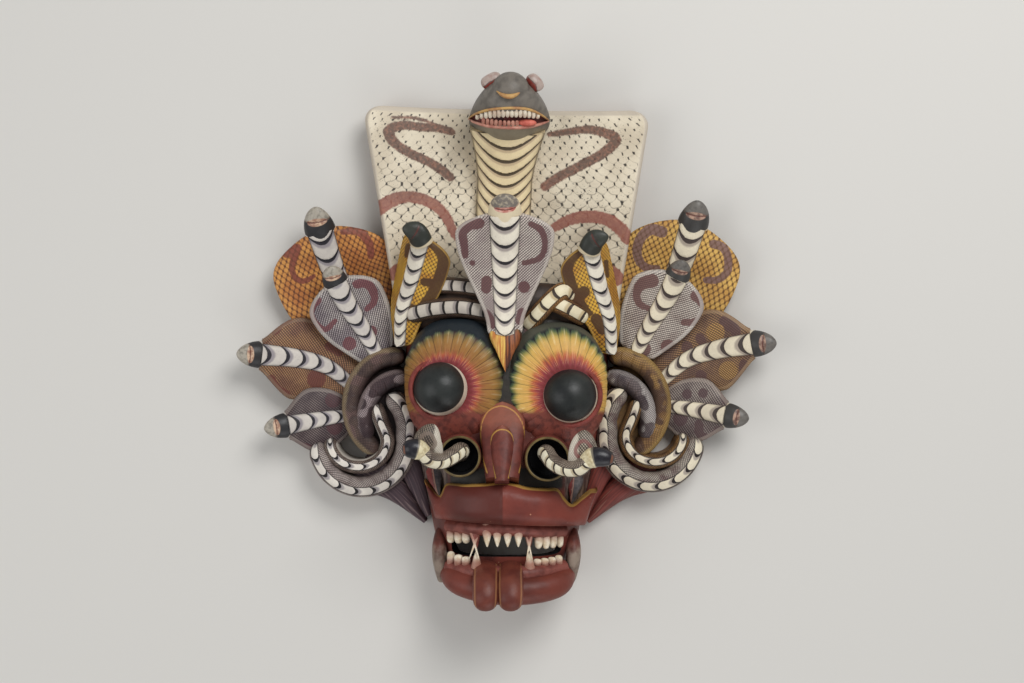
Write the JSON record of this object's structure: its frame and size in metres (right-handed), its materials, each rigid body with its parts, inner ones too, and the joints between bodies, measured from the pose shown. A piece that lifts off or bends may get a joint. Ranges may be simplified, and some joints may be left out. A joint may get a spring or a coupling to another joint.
{
  "type": "naga raksha mask",
  "caption": "Carved and painted wooden demon mask with bulging eyes, fanged mouth, cobra crest, fanned cobras at the sides and snakes coming out of the nostrils.",
  "frame": {"origin": "on the resting plane, under the middle of the whole outline", "axes": "+X to the viewer's right, +Y up the face towards the crest, +Z out of the face, away from the flat back"},
  "size_m": [0.556, 0.528, 0.1448],
  "materials": {
    "face_paint": "brick red, yellow, green and black paint, satin and worn",
    "crest_paint": "cream paint with black scales and maroon bands, satin",
    "wing_paint": "ochre, grey and brown scale patterns, satin and worn",
    "nostril_cobra_paint": "brown, cream and black paint, satin"
  },
  "bodies": {
    "root": {"face_mask": "face_paint", "crest_cobra": "crest_paint", "left_cobra_wing": "wing_paint", "right_cobra_wing": "wing_paint", "left_nostril_cobra": "nostril_cobra_paint", "right_nostril_cobra": "nostril_cobra_paint"}
  },
  "joints": []
}
